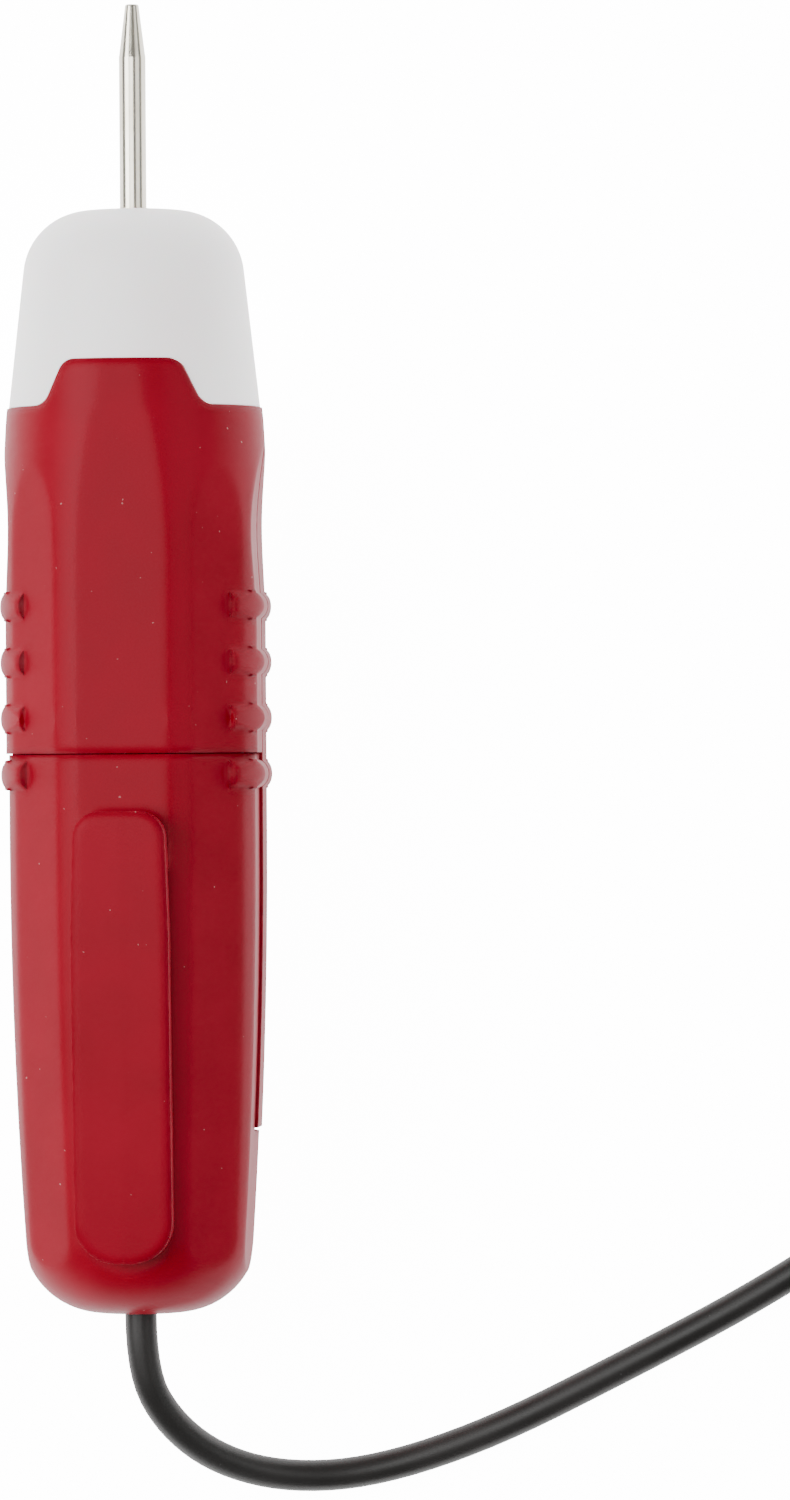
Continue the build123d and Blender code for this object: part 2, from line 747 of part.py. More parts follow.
spring_y = plate_y + contact_thickness + spring_wire / 2
spring_height = cell_y - spring_play - spring_wire / 2 - spring_y
with BuildPart() as negative_spring:
    lean = degrees(atan((spring_wide - spring_narrow) / spring_height))
    with BuildLine() as coil:
        Helix(
            pitch=spring_height / spring_turns,
            height=spring_height,
            radius=spring_wide,
            center=(0, spring_y, axis_z),
            direction=(0, 1, 0),
            cone_angle=-lean,
        )
    with BuildSketch(coil.line ^ 0):
        Circle(spring_wire / 2)
    sweep(is_frenet=True)
negative_spring.part.label = "negative_spring"
export_step(negative_spring.part, "parts/negative_spring.step")

core_end_y = plate_y + contact_thickness + 0.7
with BuildPart() as lead_core:
    add(bore(plate_y - 0.5, core_end_y, core_diameter / 2))
lead_core.part.label = "lead_core"
export_step(lead_core.part, "parts/lead_core.step")

with BuildPart() as lead_solder:
    with BuildSketch(FLAT):
        with BuildLine():
            Polyline(
                (core_diameter / 2, core_end_y),
                (core_diameter / 2, plate_y + contact_thickness),
                (1.3, plate_y + contact_thickness),
            )
            RadiusArc((1.3, plate_y + contact_thickness), (core_diameter / 2, core_end_y), 1.6)
        make_face()
    revolve(axis=AXIS)
lead_solder.part.label = "lead_solder"
export_step(lead_solder.part, "parts/lead_solder.step")

with BuildPart() as lead_inside:
    add(bore(tail_y, plate_y - 0.5, lead_diameter / 2))
lead_inside.part.label = "lead_inside"
export_step(lead_inside.part, "parts/lead_inside.step")

with BuildPart() as lead_clamp:
    add(bore(tail_y + tail_wall, plate_y - 0.7, lead_diameter / 2 + 0.6))
    add(bore(tail_y + tail_wall, plate_y - 0.7, lead_diameter / 2), mode=Mode.SUBTRACT)
lead_clamp.part.label = "lead_clamp"
export_step(lead_clamp.part, "parts/lead_clamp.step")

# ---- Test lead: along the surface, wound into a neat coil, and on to its clip ------------
heading = Vector(cos(radians(croc_heading)), sin(radians(croc_heading)), 0)
sideways = Vector(-heading.Y, heading.X, 0)
last_bend = Vector(end_route[-1][0], tail_y + end_route[-1][1], 0)
croc_origin = last_bend + heading * croc_reach - sideways * croc_wire_v
croc_plane = Plane(origin=croc_origin, x_dir=heading, z_dir=(0, 0, 1))
barrel_start = croc_plane.from_local_coords(Vector(0, croc_wire_v, croc_wire_z))
barrel_plane = Plane(origin=barrel_start, z_dir=heading)   # square to the lead where it enters
wire_end = croc_origin + heading * wire_in_croc + sideways * croc_wire_v + Vector(0, 0, croc_wire_z)


def cord_tube(points, name):
    """Insulated wire along a route: straight runs joined by arcs as large as they allow."""
    radii = []
    for before, corner, after in zip(points, points[1:], points[2:]):
        shorter = min((corner - before).length, (after - corner).length)
        turn = radians((corner - before).get_angle(after - corner))
        radii.append(0.45 * shorter / tan(turn / 2))
    print(name, "radii", [round(r, 1) for r in radii])
    with BuildPart() as tube:
        with BuildLine() as path:
            FilletPolyline(*points, radius=radii)
        with BuildSketch(Plane(origin=points[0], z_dir=points[1] - points[0])):
            Circle(lead_diameter / 2)
        sweep(path=path.wires()[0])
    length = path.wires()[0].length
    section = pi * lead_diameter ** 2 / 4
    print(name, "length", round(length, 1), "volume ratio", round(tube.part.volume / section / length, 4))
    return tube.part


with BuildPart() as lead_tube:
    add(cord_tube([Vector(x, tail_y + y, z) for x, y, z in tail_route], "lead_tube"))
lead_tube.part.label = "lead_tube"
export_step(lead_tube.part, "parts/lead_tube.step")

with BuildPart() as lead_coil:
    with Locations((coil_centre[0], tail_y + coil_centre[1], 0)):
        Cylinder(coil_outer, coil_height, align=(Align.CENTER, Align.CENTER, Align.MIN))
        Cylinder(coil_inner, coil_height, align=(Align.CENTER, Align.CENTER, Align.MIN), mode=Mode.SUBTRACT)
    fillet(lead_coil.edges().filter_by(GeomType.CIRCLE), lead_diameter / 2)
lead_coil.part.label = "lead_coil"
export_step(lead_coil.part, "parts/lead_coil.step")

with BuildPart() as lead_end:
    add(cord_tube([Vector(x, tail_y + y, z) for x, y, z in end_route] + [wire_end], "lead_end"))
lead_end.part.label = "lead_end"
export_step(lead_end.part, "parts/lead_end.step")

with BuildPart() as coil_tie:
    middle_x = coil_centre[0] - (coil_inner + coil_outer) / 2
    band = coil_outer - coil_inner
    with BuildSketch(Plane.XZ.offset(-tail_y - coil_centre[1] - tie_width / 2)):
        with Locations((middle_x, coil_height / 2)):
            RectangleRounded(band + 2 * tie_thickness, coil_height + 2 * tie_thickness, 1.6)
            RectangleRounded(band, coil_height, 1.2, mode=Mode.SUBTRACT)
    extrude(amount=tie_width)
    with BuildSketch(Plane.XY):
        with Locations((middle_x, tail_y + coil_centre[1])):
            Rectangle(2 * band, 2 * tie_width)
    extrude(amount=-2, mode=Mode.SUBTRACT)
coil_tie.part.label = "coil_tie"
export_step(coil_tie.part, "parts/coil_tie.step")

# ---- Croc clip: lies on its side, so its pivot stands upright ----------------------------
jaw_middle = fixed_width / 2
barrel_radius = lead_diameter / 2 + barrel_wall

def jaw(outline, width, spine_shift, tooth_side, hole):
    """Folded sheet jaw: two cheeks joined by a spine, with teeth and a pivot hole."""
    low = jaw_middle - width / 2
    with BuildPart() as blank:
        with BuildSketch(croc_plane.offset(low)):
            with BuildLine():
                Polyline(*outline, close=True)
            make_face()
        extrude(amount=width)
        with BuildSketch(croc_plane.offset(low + sheet)):
            with BuildLine():
                Polyline(*[(u, v + spine_shift) for u, v in outline], close=True)
            make_face()
        extrude(amount=width - 2 * sheet, mode=Mode.SUBTRACT)
        with BuildSketch(croc_plane.offset(low)):
            for tooth in range(tooth_count):
                start = tooth_start + tooth * tooth_pitch
                with BuildLine():
                    Polyline(
                        (start, tooth_side * 0.2),
                        (start + tooth_pitch, tooth_side * 0.2),
                        (start + tooth_pitch / 2, -tooth_side * tooth_depth),
                        close=True,
                    )
                make_face()
            with Locations((pivot_u, 0)):
                Circle(hole)
        extrude(amount=width, mode=Mode.SUBTRACT)
    return blank.part


with BuildPart() as croc_jaw_fixed:
    add(jaw(fixed_outline, fixed_width, jaw_spine, 1, pivot_radius))
    with BuildSketch(barrel_plane):
        Circle(barrel_radius)
    extrude(amount=barrel_length)
    with BuildSketch(barrel_plane):
        Circle(lead_diameter / 2 + wire_play)
    extrude(amount=barrel_length, mode=Mode.SUBTRACT)
croc_jaw_fixed.part.label = "croc_jaw_fixed"
export_step(croc_jaw_fixed.part, "parts/croc_jaw_fixed.step")

with BuildPart() as croc_jaw_moving:
    add(jaw(moving_outline, moving_width, -jaw_spine, -1, pivot_radius + pivot_play))
croc_jaw_moving.part.label = "croc_jaw_moving"
export_step(croc_jaw_moving.part, "parts/croc_jaw_moving.step")

with BuildPart() as croc_pivot:
    with BuildSketch(croc_plane):
        with Locations((pivot_u, 0)):
            Circle(pivot_radius)
    extrude(amount=fixed_width)
    with BuildSketch(croc_plane.offset(fixed_width)):
        with Locations((pivot_u, 0)):
            Circle(pivot_radius + pivot_head_rim)
    extrude(amount=pivot_head_height)
croc_pivot.part.label = "croc_pivot"
export_step(croc_pivot.part, "parts/croc_pivot.step")

with BuildPart() as croc_spring:
    pivot_foot = croc_plane.from_local_coords(Vector(pivot_u, 0, jaw_middle - clip_spring_height / 2))
    with BuildLine() as coil:
        Helix(
            pitch=clip_spring_pitch,
            height=clip_spring_height,
            radius=clip_spring_radius,
            center=pivot_foot,
            direction=(0, 0, 1),
        )
    with BuildSketch(coil.line ^ 0):
        Circle(clip_spring_wire)
    sweep(is_frenet=True)
croc_spring.part.label = "croc_spring"
export_step(croc_spring.part, "parts/croc_spring.step")

with BuildPart() as croc_boot:
    with BuildSketch(barrel_plane.offset(-boot_sleeve)):
        Circle(barrel_radius + boot_wall)
    extrude(amount=boot_length)
    fillet(croc_boot.edges().filter_by(GeomType.CIRCLE), boot_round)
    with BuildSketch(barrel_plane.offset(-boot_sleeve)):
        Circle(lead_diameter / 2 + wire_play)
    extrude(amount=boot_sleeve, mode=Mode.SUBTRACT)
    with BuildSketch(barrel_plane):
        Circle(barrel_radius)
    extrude(amount=boot_overlap, mode=Mode.SUBTRACT)
croc_boot.part.label = "croc_boot"
export_step(croc_boot.part, "parts/croc_boot.step")
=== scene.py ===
"""Battery continuity tester on a white table: looks, lead and light. Lengths are in metres."""
import json
from math import cos, pi, radians, sin

import bmesh
import bpy
from mathutils import Matrix, Vector


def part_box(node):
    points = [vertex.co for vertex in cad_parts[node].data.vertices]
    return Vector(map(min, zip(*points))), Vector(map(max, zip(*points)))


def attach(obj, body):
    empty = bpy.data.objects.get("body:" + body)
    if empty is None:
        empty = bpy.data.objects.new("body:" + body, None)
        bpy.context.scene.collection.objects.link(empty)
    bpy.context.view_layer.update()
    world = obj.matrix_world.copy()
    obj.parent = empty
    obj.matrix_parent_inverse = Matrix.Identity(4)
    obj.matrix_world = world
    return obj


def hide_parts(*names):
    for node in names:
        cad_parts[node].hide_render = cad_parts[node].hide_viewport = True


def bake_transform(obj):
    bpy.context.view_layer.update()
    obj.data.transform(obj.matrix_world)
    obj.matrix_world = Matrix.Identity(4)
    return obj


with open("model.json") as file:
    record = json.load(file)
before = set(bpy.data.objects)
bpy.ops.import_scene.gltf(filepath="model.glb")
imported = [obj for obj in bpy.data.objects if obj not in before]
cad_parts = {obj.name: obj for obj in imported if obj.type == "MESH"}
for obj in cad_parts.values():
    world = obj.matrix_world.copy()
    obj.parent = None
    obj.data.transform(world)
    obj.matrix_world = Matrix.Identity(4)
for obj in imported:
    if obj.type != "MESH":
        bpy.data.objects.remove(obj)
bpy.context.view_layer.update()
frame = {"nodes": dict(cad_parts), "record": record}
MM = 0.001


def node_box(node):
    """Lowest and highest corner of a node as vectors."""
    low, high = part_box(node)
    return Vector(low), Vector(high)


cover_low, cover_high = node_box("tail_cover")
probe_low, probe_high = node_box("probe")
clip_low, clip_high = node_box("pocket_clip")
lamp_low, lamp_high = node_box("led_body")
tail_y = cover_low.y
seam_y = cover_high.y           # where the cover meets the handle
axis_z = (probe_low.z + probe_high.z) / 2

# ---- Camera ------------------------------------------------------------------------------
VIEW_LEAN = radians(5.0)        # stands a little to the tester's right
VIEW_ROLL = radians(0.4)
FOCAL = 200.0
VIEW_HEIGHT = 112.8 * MM        # what the frame takes in at the height of the handle's axis
VIEW_SIDE = 19.4 * MM           # frame's middle beside the handle's axis
VIEW_ALONG = 42.1 * MM          # and ahead of the tail
NEAREST_SEEN = 0.01


def place_camera():
    """Looks down on the tester, with the probe at the top of the frame."""
    lens_data = bpy.data.cameras.new("table_camera")
    camera = bpy.data.objects.new("table_camera", lens_data)
    bpy.context.collection.objects.link(camera)
    lens_data.lens = FOCAL
    lens_data.clip_start = NEAREST_SEEN
    away = Vector((sin(VIEW_LEAN), 0, cos(VIEW_LEAN)))
    across = Vector((cos(VIEW_LEAN), 0, -sin(VIEW_LEAN)))
    middle = across * VIEW_SIDE + Vector((0, tail_y + VIEW_ALONG, axis_z))
    distance = VIEW_HEIGHT * FOCAL / lens_data.sensor_width
    along = Vector((0, 1, 0))
    up = along * cos(VIEW_ROLL) + across * sin(VIEW_ROLL)
    right = up.cross(away)
    turn = Matrix((right, up, away)).transposed().to_4x4()
    camera.matrix_world = Matrix.Translation(middle + away * distance) @ turn
    bpy.context.scene.camera = camera


place_camera()


# ---- Node groups shared by the finishes --------------------------------------------------
SPECK = (0.785, 0.81)           # noise between which a speck sets in
WEAR_REACH = 0.35 * MM
WEAR_SAMPLES = 4
WEAR = (0.995, 0.90)            # cosine to the rounded normal, from unworn to worn
WEAR_BREAKS = (0.35, 0.65)      # noise between which the wear sets in
DRAWN_STRETCH = (1.0, 0.02, 1.0)
TARNISH_SCALE = 260.0
TARNISH = (0.35, 0.75)


def start_group(name, inputs, outputs):
    """Empty node group with value inputs and outputs, and its two end nodes."""
    group = bpy.data.node_groups.new(name, "ShaderNodeTree")
    for label, default in inputs:
        socket = group.interface.new_socket(label, in_out="INPUT", socket_type="NodeSocketFloat")
        socket.default_value = default
    for label in outputs:
        group.interface.new_socket(label, in_out="OUTPUT", socket_type="NodeSocketFloat")
    return group, group.nodes.new("NodeGroupInput"), group.nodes.new("NodeGroupOutput")


def object_noise(tree, scale, detail=2.0, rough=0.5):
    """Noise on Object coordinates. scale is a number or a socket."""
    where = tree.nodes.new("ShaderNodeTexCoord")
    noise = tree.nodes.new("ShaderNodeTexNoise")
    noise.inputs["Detail"].default_value = detail
    noise.inputs["Roughness"].default_value = rough
    tree.links.new(where.outputs["Object"], noise.inputs["Vector"])
    if isinstance(scale, (int, float)):
        noise.inputs["Scale"].default_value = scale
    else:
        tree.links.new(scale, noise.inputs["Scale"])
    return noise.outputs["Fac"]


def remap(tree, value, low, high, to_low=0.0, to_high=1.0):
    """Stretches a value from one range to another and clamps it."""
    node = tree.nodes.new("ShaderNodeMapRange")
    for label, number in (("From Min", low), ("From Max", high), ("To Min", to_low), ("To Max", to_high)):
        node.inputs[label].default_value = number
    tree.links.new(value, node.inputs["Value"])
    return node.outputs["Result"]


def moulded_skin():
    """Surface of moulded plastic: slow drift of tone, satin grain, small pale specks."""
    inputs = [("Drift scale", 90.0), ("Grain scale", 4200.0), ("Speck scale", 1900.0)]
    group, start, end = start_group("moulded_skin", inputs, ["Drift", "Grain", "Speck"])
    drift = object_noise(group, start.outputs["Drift scale"], 3.0, 0.6)
    grain = object_noise(group, start.outputs["Grain scale"], 2.0)
    speck = object_noise(group, start.outputs["Speck scale"], 1.0)
    group.links.new(drift, end.inputs["Drift"])
    group.links.new(grain, end.inputs["Grain"])
    group.links.new(remap(group, speck, *SPECK), end.inputs["Speck"])
    return group


def rubbed_edges():
    """Mask of the worn edges: where the rounded normal leaves the true one, broken up by noise."""
    group, start, end = start_group("rubbed_edges", [("Noise scale", 900.0)], ["Edge"])
    rounded = group.nodes.new("ShaderNodeBevel")
    rounded.samples = WEAR_SAMPLES
    rounded.inputs["Radius"].default_value = WEAR_REACH
    facing = group.nodes.new("ShaderNodeNewGeometry")
    dot = group.nodes.new("ShaderNodeVectorMath")
    dot.operation = "DOT_PRODUCT"
    group.links.new(rounded.outputs["Normal"], dot.inputs[0])
    group.links.new(facing.outputs["Normal"], dot.inputs[1])
    edge = remap(group, dot.outputs["Value"], *WEAR)
    broken = remap(group, object_noise(group, start.outputs["Noise scale"], 3.0), *WEAR_BREAKS)
    both = group.nodes.new("ShaderNodeMath")
    both.operation = "MULTIPLY"
    group.links.new(edge, both.inputs[0])
    group.links.new(broken, both.inputs[1])
    group.links.new(both.outputs["Value"], end.inputs["Edge"])
    return group


def drawn_metal():
    """Fine lines along Y from drawing or grinding, and slow tarnish."""
    group, start, end = start_group("drawn_metal", [("Line scale", 5000.0)], ["Lines", "Tarnish"])
    where = group.nodes.new("ShaderNodeTexCoord")
    squeeze = group.nodes.new("ShaderNodeMapping")
    squeeze.inputs["Scale"].default_value = DRAWN_STRETCH
    lines = group.nodes.new("ShaderNodeTexNoise")
    lines.inputs["Detail"].default_value = 2.0
    group.links.new(where.outputs["Object"], squeeze.inputs["Vector"])
    group.links.new(squeeze.outputs["Vector"], lines.inputs["Vector"])
    group.links.new(start.outputs["Line scale"], lines.inputs["Scale"])
    group.links.new(lines.outputs["Fac"], end.inputs["Lines"])
    tarnish = remap(group, object_noise(group, TARNISH_SCALE, 4.0, 0.6), *TARNISH)
    group.links.new(tarnish, end.inputs["Tarnish"])
    return group


SKIN = moulded_skin()
EDGES = rubbed_edges()
DRAWN = drawn_metal()


# ---- Finishes ----------------------------------------------------------------------------
CORNER_SAMPLES = 8
CORNER_SEAM_SHARE = 0.9         # a corner's radius ends short of the seam
TONE_DRIFT = (0.35, 0.65)       # noise over which the tone goes from dark to light
GLOSS_DRIFT = (0.3, 0.7)
SMOOTHER = 0.04                 # roughness below and above its middle value
ROUGHER = 0.05
TARNISH_ROUGHER = 0.10
PLASTIC_DEPTH = 1.5 * MM        # how deep light goes into plastic


def new_finish(name):
    """Material with its node tree and its Principled shader."""
    material = bpy.data.materials.new(name)
    material.use_nodes = True
    return material, material.node_tree, material.node_tree.nodes["Principled BSDF"]


def place_group(tree, group):
    """A shared group in a material."""
    node = tree.nodes.new("ShaderNodeGroup")
    node.node_tree = group
    return node


def mix_colour(tree, mask, first, second):
    """Colour that goes from first to second as the mask does. Either may be a socket."""
    mix = tree.nodes.new("ShaderNodeMix")
    mix.data_type = "RGBA"
    tree.links.new(mask, mix.inputs[0])
    for slot, colour in ((6, first), (7, second)):
        if isinstance(colour, tuple):
            mix.inputs[slot].default_value = (*colour, 1.0)
        else:
            tree.links.new(colour, mix.inputs[slot])
    return mix.outputs[2]


def add_bump(tree, shader, height, distance):
    """Fine relief from a height value. Returns its node."""
    bump = tree.nodes.new("ShaderNodeBump")
    bump.inputs["Distance"].default_value = distance
    tree.links.new(height, bump.inputs["Height"])
    tree.links.new(bump.outputs["Normal"], shader.inputs["Normal"])
    return bump


def reckon(tree, operation, first, second):
    """One step of arithmetic on a value."""
    node = tree.nodes.new("ShaderNodeMath")
    node.operation = operation
    tree.links.new(first, node.inputs[0])
    node.inputs[1].default_value = second
    return node.outputs["Value"]


def run_corners(tree, bump, radius):
    """Lets flat faces run into each other as out of a polished mould, but keeps the seam crisp."""
    where = tree.nodes.new("ShaderNodeTexCoord")
    parts = tree.nodes.new("ShaderNodeSeparateXYZ")
    tree.links.new(where.outputs["Object"], parts.inputs["Vector"])
    from_seam = reckon(tree, "ABSOLUTE", reckon(tree, "SUBTRACT", parts.outputs["Y"], seam_y), 0.0)
    reach = reckon(tree, "MINIMUM", reckon(tree, "MULTIPLY", from_seam, CORNER_SEAM_SHARE), radius)
    rounded = tree.nodes.new("ShaderNodeBevel")
    rounded.samples = CORNER_SAMPLES
    tree.links.new(reach, rounded.inputs["Radius"])
    tree.links.new(rounded.outputs["Normal"], bump.inputs["Normal"])


def plastic(name, dark, light, worn, rough, grain_depth, scatter=0.0, speck=None, gloss=0.5, corner=None):
    """Moulded plastic: drifting tone, rubbed edges, specks, satin grain."""
    material, tree, shader = new_finish(name)
    skin = place_group(tree, SKIN)
    edge = place_group(tree, EDGES)
    colour = mix_colour(tree, remap(tree, skin.outputs["Drift"], *TONE_DRIFT), dark, light)
    colour = mix_colour(tree, edge.outputs["Edge"], colour, worn)
    colour = mix_colour(tree, skin.outputs["Speck"], colour, speck or worn)
    tree.links.new(colour, shader.inputs["Base Color"])
    finish = remap(tree, skin.outputs["Drift"], *GLOSS_DRIFT, rough - SMOOTHER, rough + ROUGHER)
    tree.links.new(finish, shader.inputs["Roughness"])
    bump = add_bump(tree, shader, skin.outputs["Grain"], grain_depth)
    if corner:
        run_corners(tree, bump, corner)
    shader.inputs["Subsurface Weight"].default_value = scatter
    shader.inputs["Specular IOR Level"].default_value = gloss
    shader.inputs["Subsurface Scale"].default_value = PLASTIC_DEPTH
    return material


def metal(name, colour, tarnished, rough, line_depth):
    """Drawn or plated metal with fine lines and slow tarnish."""
    material, tree, shader = new_finish(name)
    drawn = place_group(tree, DRAWN)
    tone = mix_colour(tree, drawn.outputs["Tarnish"], colour, tarnished)
    tree.links.new(tone, shader.inputs["Base Color"])
    finish = remap(tree, drawn.outputs["Tarnish"], 0.0, 1.0, rough, rough + TARNISH_ROUGHER)
    tree.links.new(finish, shader.inputs["Roughness"])
    shader.inputs["Metallic"].default_value = 1.0
    add_bump(tree, shader, drawn.outputs["Lines"], line_depth)
    return material


LENS_PAINTED_GLOW = 0.85                # painted glow: constant emission that stands in for room light coming through from the far side
LENS_SCATTER = 0.5
LENS_DEPTH = 0.6 * MM
LAMP_SHADOW_REACH = Vector((4.6, 6.9, 18.4)) * MM    # reach of the painted shade of the lamp, deep enough for the wall
LAMP_SHADOW_FULL = 0.8


def painted_lamp_shadow(tree):
    """Painted shade: a soft darker spot where the lamp stands close behind the wall."""
    where = tree.nodes.new("ShaderNodeTexCoord")
    move = tree.nodes.new("ShaderNodeMapping")
    middle = (lamp_low + lamp_high) / 2
    move.inputs["Scale"].default_value = [1 / reach for reach in LAMP_SHADOW_REACH]
    move.inputs["Location"].default_value = [-place / reach for place, reach in zip(middle, LAMP_SHADOW_REACH)]
    ball = tree.nodes.new("ShaderNodeTexGradient")
    ball.gradient_type = "SPHERICAL"
    tree.links.new(where.outputs["Object"], move.inputs["Vector"])
    tree.links.new(move.outputs["Vector"], ball.inputs["Vector"])
    return remap(tree, ball.outputs["Fac"], 0.0, LAMP_SHADOW_FULL)


def frosted_lens():
    """Frosted white plastic with the lamp inside painted on as soft shade, and a painted glow."""
    material = plastic(
        "frosted_lens", (0.975, 0.955, 0.945), (0.99, 0.975, 0.965), (0.995, 0.985, 0.98), 0.42, 0.004 * MM)
    shader = material.node_tree.nodes["Principled BSDF"]
    shader.inputs["Subsurface Weight"].default_value = LENS_SCATTER
    shader.inputs["Subsurface Scale"].default_value = LENS_DEPTH
    tree = material.node_tree
    colour = shader.inputs["Base Color"].links[0].from_socket
    # painted shade of the lamp behind the wall, tinted pink where its body shows through
    shaded = mix_colour(tree, painted_lamp_shadow(tree), colour, (0.88, 0.78, 0.79))
    tree.links.new(shaded, shader.inputs["Base Color"])
    # painted glow: the lens gives off light of its own in place of light scattered through it
    shader.inputs["Emission Color"].default_value = (1.0, 0.955, 0.945, 1.0)
    shader.inputs["Emission Strength"].default_value = LENS_PAINTED_GLOW
    return material


# darker tone, lighter tone, rubbed edge, roughness, depth of grain in millimetres
PLASTICS = {
    "board_laminate": ((0.01, 0.10, 0.03), (0.02, 0.14, 0.05), (0.3, 0.3, 0.2), 0.35, 0.002),
    "black_epoxy": ((0.012, 0.012, 0.012), (0.02, 0.02, 0.02), (0.1, 0.1, 0.1), 0.5, 0.004),
    "ferrite": ((0.03, 0.028, 0.027), (0.05, 0.045, 0.04), (0.12, 0.11, 0.10), 0.6, 0.01),
    "tan_ceramic": ((0.36, 0.22, 0.11), (0.42, 0.27, 0.14), (0.5, 0.36, 0.2), 0.35, 0.003),
    "cell_print": ((0.015, 0.018, 0.022), (0.03, 0.035, 0.04), (0.3, 0.3, 0.3), 0.2, 0.001),
    "cell_seal": ((0.18, 0.18, 0.17), (0.24, 0.24, 0.23), (0.4, 0.4, 0.4), 0.6, 0.006),
    "lead_insulation": ((0.010, 0.009, 0.008), (0.017, 0.015, 0.014), (0.05, 0.05, 0.05), 0.42, 0.004),
    "tie_plastic": ((0.02, 0.02, 0.02), (0.03, 0.03, 0.03), (0.08, 0.08, 0.08), 0.5, 0.01),
    "boot_vinyl": ((0.012, 0.012, 0.012), (0.02, 0.02, 0.02), (0.07, 0.07, 0.07), 0.45, 0.008),
}
# clean tone, tarnished tone, roughness, depth of the drawn lines in millimetres
METALS = {
    "nickel_plate": ((0.90, 0.86, 0.74), (0.76, 0.70, 0.57), 0.14, 0.001),
    "brass": ((0.78, 0.58, 0.28), (0.55, 0.40, 0.20), 0.25, 0.002),
    "tinned_metal": ((0.78, 0.78, 0.77), (0.55, 0.55, 0.53), 0.30, 0.002),
    "spring_steel": ((0.72, 0.70, 0.66), (0.50, 0.47, 0.42), 0.22, 0.002),
    "cell_steel": ((0.74, 0.74, 0.72), (0.58, 0.57, 0.54), 0.25, 0.002),
    "croc_steel": ((0.50, 0.49, 0.47), (0.34, 0.33, 0.30), 0.24, 0.002),
}
FINISHES = {
    "red_plastic": plastic(
        "red_plastic", (0.30, 0.0004, 0.013), (0.35, 0.0008, 0.017), (0.43, 0.012, 0.03), 0.36, 0.004 * MM,
        scatter=0.02, speck=(0.50, 0.16, 0.16), gloss=0.11, corner=1.1 * MM),
    "red_epoxy": plastic(
        "red_epoxy", (0.62, 0.02, 0.02), (0.70, 0.03, 0.03), (0.8, 0.2, 0.2), 0.12, 0.001 * MM, scatter=0.3),
    "frosted_plastic": frosted_lens(),
}
for finish_name, (dark, light, worn, rough, grain) in PLASTICS.items():
    FINISHES[finish_name] = plastic(finish_name, dark, light, worn, rough, grain * MM)
for finish_name, (clean, tarnished, rough, line_depth) in METALS.items():
    FINISHES[finish_name] = metal(finish_name, clean, tarnished, rough, line_depth * MM)

for row in frame["record"]["subparts"]:
    node = frame["nodes"][row["node"]]
    for material_slot in node.material_slots:
        material_slot.material = FINISHES[row["material_slot"]]


# ---- Test lead ---------------------------------------------------------------------------
LEAD_DIAMETER = 2.4 * MM
# from the tail: across, ahead of the tail's end and above the table, in millimetres
TAIL_ROUTE = [
    (0.0, 0.0, 9.8), (0.0, -4.4, 9.8), (1.8, -8.4, 8.1), (5.2, -11.5, 5.4), (10.2, -13.1, 2.7),
    (16.8, -12.8, 1.2), (25.6, -9.9, 1.2), (35.6, -4.9, 1.2), (46.3, 0.7, 1.2), (55.2, 6.5, 1.2),
]
END_ROUTE = [(67.8, 13.4, 1.2), (78.0, 15.6, 1.2), (83.2, 23.6, 1.8), (83.9, 34.5, 2.6), (85.2, 49.4, 2.6)]
# lanes of the coil in winding order: radius and height of the wire's middle
LANES = [
    (13.2, 1.2), (10.8, 1.2), (10.8, 3.5), (10.8, 5.8),
    (13.2, 5.8), (13.2, 3.5), (15.6, 3.5), (15.6, 1.2),
]
COIL_MIDDLE = (70.5, -2.0)
COIL_START = radians(121.0)
COIL_TURNS = 8 + 21.0 / 360.0    # ends at 100 degrees
COIL_STEPS = 129                # 16 to a turn
LANE_CHANGE = 0.3               # share of a lane that the change to the next one takes


def coil_points():
    """Clockwise turns, seen from above, that step from lane to lane."""
    points = []
    for step in range(COIL_STEPS + 1):
        along = step / COIL_STEPS * len(LANES)
        lane = min(int(along), len(LANES) - 1)
        into = along - lane
        blend_in = max(0.0, (into - 1 + LANE_CHANGE) / LANE_CHANGE)
        blend_in = blend_in * blend_in * (3 - 2 * blend_in)
        after = LANES[min(lane + 1, len(LANES) - 1)]
        radius = LANES[lane][0] + (after[0] - LANES[lane][0]) * blend_in
        height = LANES[lane][1] + (after[1] - LANES[lane][1]) * blend_in
        angle = COIL_START - 2 * pi * COIL_TURNS * step / COIL_STEPS
        points.append((COIL_MIDDLE[0] + radius * cos(angle), COIL_MIDDLE[1] + radius * sin(angle), height))
    return points


def lay_lead():
    """The whole lead as one smooth curve: out of the tail, round its coil, on to the clip."""
    data = bpy.data.curves.new("test_lead", "CURVE")
    data.dimensions = "3D"
    data.bevel_depth = LEAD_DIAMETER / 2
    data.bevel_resolution = 6
    data.resolution_u = 6
    data.use_fill_caps = True
    spline = data.splines.new("NURBS")
    points = TAIL_ROUTE + coil_points() + END_ROUTE[1:]
    spline.points.add(len(points) - 1)
    for place, (x, y, z) in zip(spline.points, points):
        place.co = (x * MM, tail_y + y * MM, z * MM, 1.0)
    spline.order_u = 3
    spline.use_endpoint_u = True
    lead = bpy.data.objects.new("test_lead", data)
    bpy.context.collection.objects.link(lead)
    data.materials.append(FINISHES["lead_insulation"])
    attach(lead, "cover")
    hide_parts("lead_tube", "lead_coil", "lead_end")
    return lead


lay_lead()


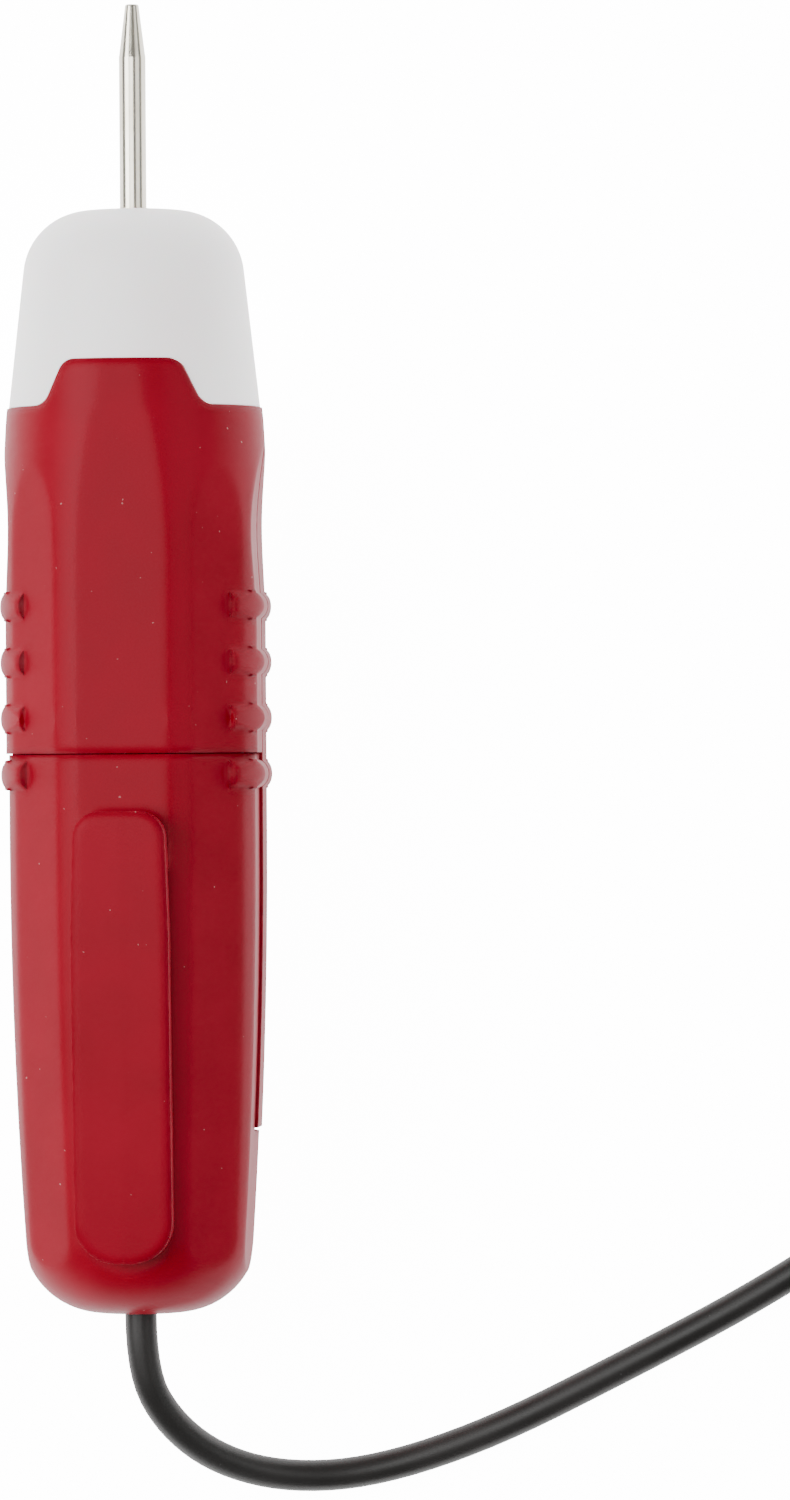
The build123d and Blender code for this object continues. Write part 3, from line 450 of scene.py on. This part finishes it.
# ---- Pocket clip -------------------------------------------------------------------------
CLIP_ROOT = 4.2 * MM            # hinge line to the clip's probe end
CLIP_BACK = 0.7 * MM            # hinge line to the probe end of the stiff clip
CLIP_PROUD = 0.13 * MM          # skin over the frame's two pieces of clip
CLIP_TAPER = 0.28 * MM          # narrower at the root
CLIP_TAPER_REACH = 9.0 * MM
CLIP_OVERHANG = 0.12 * MM       # how far it covers the root's probe end
CLIP_CROWN = 0.04 * MM
CLIP_FALL = 1.7 * MM            # free end below the root
CLIP_FALL_POWER = 1.6
CLIP_DEPTH = 1.5 * MM
CLIP_TOP_ROUND = 1.9 * MM
CLIP_TAIL_ROUND = 3.1 * MM
CLIP_RIDGE = 0.03 * MM          # mould's parting line down the middle
CLIP_STATIONS = 60
CLIP_COLUMNS = 12
CLIP_GATHER = 0.8               # draws the columns in towards the ridge
CLIP_RIDGE_HALF = 0.01          # share of the half width that counts as the middle
CLIP_EDGE = 0.22 * MM
CLIP_EDGE_ANGLE = radians(50)
SAME_POINT = 0.002 * MM


def end_round(distance, radius):
    """How far a rounded corner cuts in from the side, at a distance from the end."""
    inside = min(radius, max(0.0, radius - distance))
    return radius - (radius ** 2 - inside ** 2) ** 0.5


def mould_clip():
    """One bar from the root to the free end, in place of the stiff clip and its hinge line."""
    half = (clip_high.x - clip_low.x) / 2 + CLIP_PROUD
    hinge_y = clip_high.y - CLIP_BACK
    top_y = hinge_y + CLIP_ROOT + CLIP_OVERHANG
    shape = bmesh.new()
    bmesh.ops.create_grid(shape, x_segments=CLIP_COLUMNS, y_segments=CLIP_STATIONS, size=1.0)
    for corner in shape.verts:
        along = (1 + sin(corner.co.y * pi / 2)) / 2
        across = corner.co.x * abs(corner.co.x) ** CLIP_GATHER
        y = clip_low.y + along * (top_y - clip_low.y)
        cut = max(end_round(y - clip_low.y, CLIP_TAIL_ROUND), end_round(top_y - y, CLIP_TOP_ROUND))
        cut += CLIP_TAPER * max(0.0, 1 - (top_y - y) / CLIP_TAPER_REACH)
        lift = clip_high.z + CLIP_PROUD - (1 - along) ** CLIP_FALL_POWER * CLIP_FALL
        ridge = CLIP_RIDGE if abs(across) < CLIP_RIDGE_HALF else 0.0
        corner.co = Vector((across * (half - cut), y, lift - CLIP_CROWN * across ** 2 + ridge))
    rim = [edge for edge in shape.edges if edge.is_boundary]
    walls = bmesh.ops.extrude_edge_only(shape, edges=rim)
    lower = [item for item in walls["geom"] if isinstance(item, bmesh.types.BMVert)]
    bmesh.ops.translate(shape, verts=lower, vec=(0, 0, -CLIP_DEPTH))
    bmesh.ops.holes_fill(shape, edges=[edge for edge in shape.edges if edge.is_boundary], sides=0)
    bmesh.ops.remove_doubles(shape, verts=shape.verts, dist=SAME_POINT)
    bmesh.ops.recalc_face_normals(shape, faces=shape.faces)
    data = bpy.data.meshes.new("clip_bar")
    shape.to_mesh(data)
    shape.free()
    bar = bpy.data.objects.new("clip_bar", data)
    bpy.context.collection.objects.link(bar)
    data.materials.append(FINISHES["red_plastic"])
    data.shade_smooth()
    bevel = bar.modifiers.new("soft_edges", "BEVEL")
    bevel.width = CLIP_EDGE
    bevel.segments = 4
    bevel.limit_method = "ANGLE"
    bevel.angle_limit = CLIP_EDGE_ANGLE
    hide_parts("pocket_clip")
    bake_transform(bar)
    return bar


mould_clip()


# ---- Table and light ---------------------------------------------------------------------
TABLE_HALF = 1.5
TABLE_GLOW = 1.6                # lights the tester from around
TABLE_GLOW_SEEN = 14.0          # burns out to white in the view
SOFTBOX_SIDE = 0.5
ROOM_LIGHT = 0.25
# place and power of each light
SOFTBOXES = {
    "left_softbox": ((-0.55, 0.10, 0.60), 5.2),
    "right_softbox": ((0.65, 0.10, 0.55), 1.2),
    "top_softbox": ((-0.10, 0.05, 0.95), 3.0),
}


def lay_table():
    """White table top, far wider than the view."""
    data = bpy.data.meshes.new("table_top")
    shape = bmesh.new()
    bmesh.ops.create_grid(shape, x_segments=1, y_segments=1, size=TABLE_HALF)
    shape.to_mesh(data)
    shape.free()
    table = bpy.data.objects.new("table_top", data)
    bpy.context.collection.objects.link(table)
    material, tree, shader = new_finish("white_table")
    shader.inputs["Base Color"].default_value = (0.96, 0.96, 0.96, 1.0)
    shader.inputs["Roughness"].default_value = 0.7
    shader.inputs["Emission Color"].default_value = (1.0, 1.0, 1.0, 1.0)
    rays = tree.nodes.new("ShaderNodeLightPath")
    glow = remap(tree, rays.outputs["Is Camera Ray"], 0.0, 1.0, TABLE_GLOW, TABLE_GLOW_SEEN)
    tree.links.new(glow, shader.inputs["Emission Strength"])
    data.materials.append(material)


def hang_light(name, place, power):
    """Soft square light that faces the tester."""
    data = bpy.data.lights.new(name, "AREA")
    data.size = SOFTBOX_SIDE
    data.energy = power
    light = bpy.data.objects.new(name, data)
    bpy.context.collection.objects.link(light)
    light.location = place
    light.rotation_euler = (-Vector(place)).to_track_quat("-Z", "Y").to_euler()


lay_table()
for light_name, (light_place, light_power) in SOFTBOXES.items():
    hang_light(light_name, light_place, light_power)
world = bpy.data.worlds.new("white_room")
world.use_nodes = True
world.node_tree.nodes["Background"].inputs["Color"].default_value = (1.0, 1.0, 1.0, 1.0)
world.node_tree.nodes["Background"].inputs["Strength"].default_value = ROOM_LIGHT
bpy.context.scene.world = world
